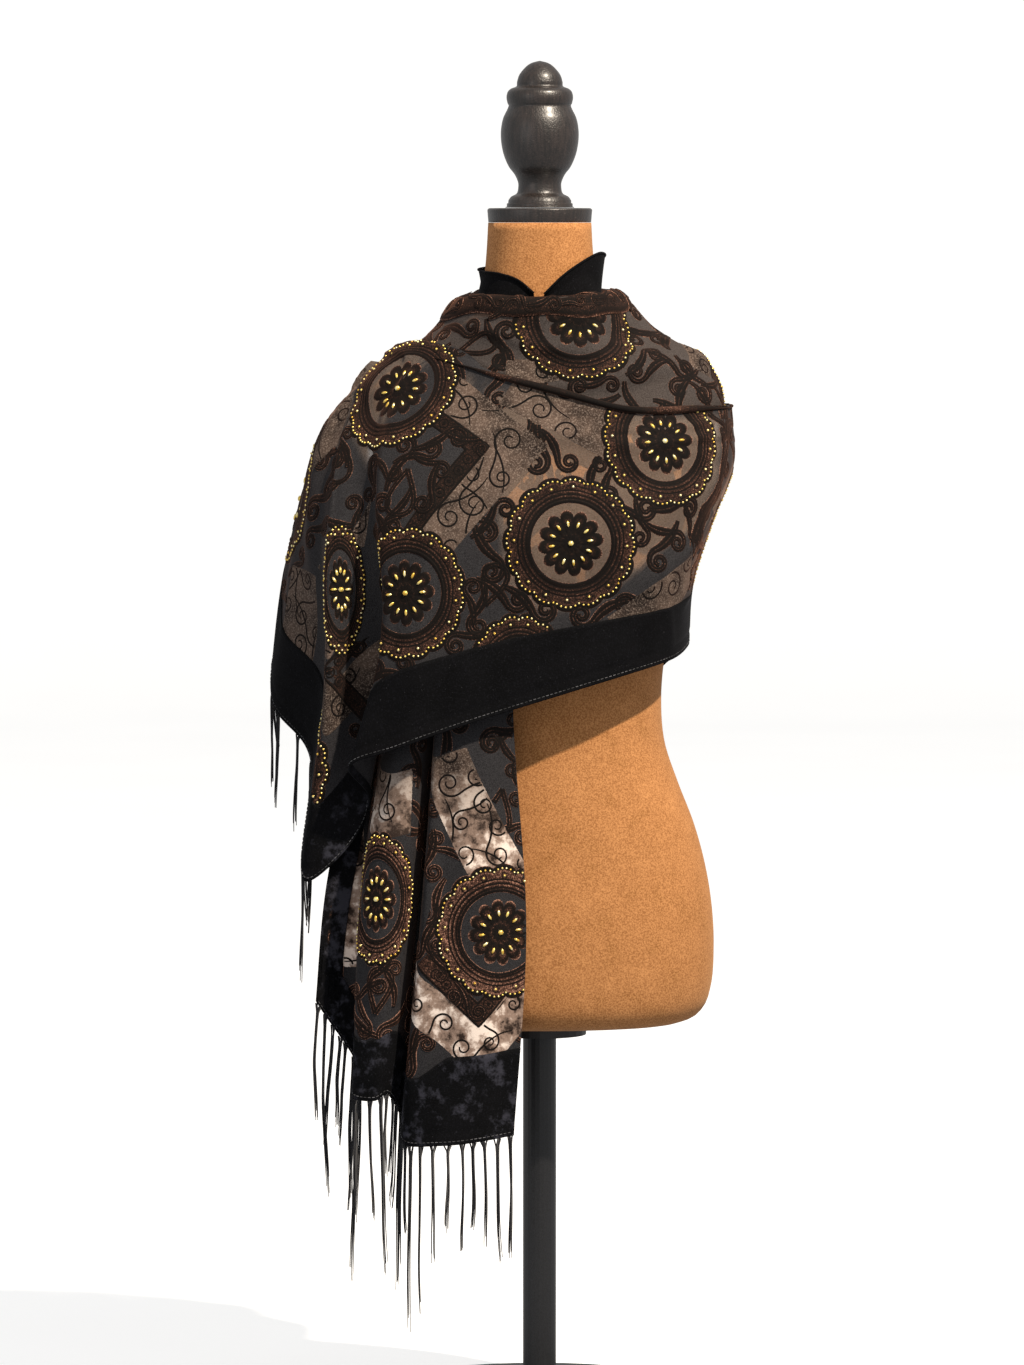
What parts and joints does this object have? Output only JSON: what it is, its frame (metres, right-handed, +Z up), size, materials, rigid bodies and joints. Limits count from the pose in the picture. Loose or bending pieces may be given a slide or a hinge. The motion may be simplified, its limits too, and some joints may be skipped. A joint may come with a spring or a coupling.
{
  "type": "velvet shawl on a dress form",
  "caption": "Fringed burnout velvet shawl wrapped round a limbless dress form: round the neck, across the chest, one end thrown over the shoulder and one hanging in front.",
  "frame": {"origin": "on the floor, at the middle of the underside of the stand's foot", "axes": "+Z up, the form faces -Y, +X is on the right as one looks at its front"},
  "size_m": [0.4549, 0.32, 1.3018],
  "materials": {
    "suede": "brushed suede",
    "black_wood": "satin",
    "black_metal": "satin",
    "velvet": "burnout pile",
    "black_velvet": "pile",
    "thread": "twisted thread"
  },
  "bodies": {
    "root": {"dress_form": "suede", "neck_plate": "black_wood", "finial": "black_wood", "stand_collar": "black_metal", "stand_pole": "black_metal", "stand_foot": "black_metal", "neck_wrap": "velvet", "neck_edge": "black_velvet", "back_panel": "velvet", "front_panel": "velvet", "thrown_end": "velvet", "fringe_thrown_end": "thread", "hanging_end": "velvet", "fringe_hanging_end": "thread"}
  },
  "joints": []
}
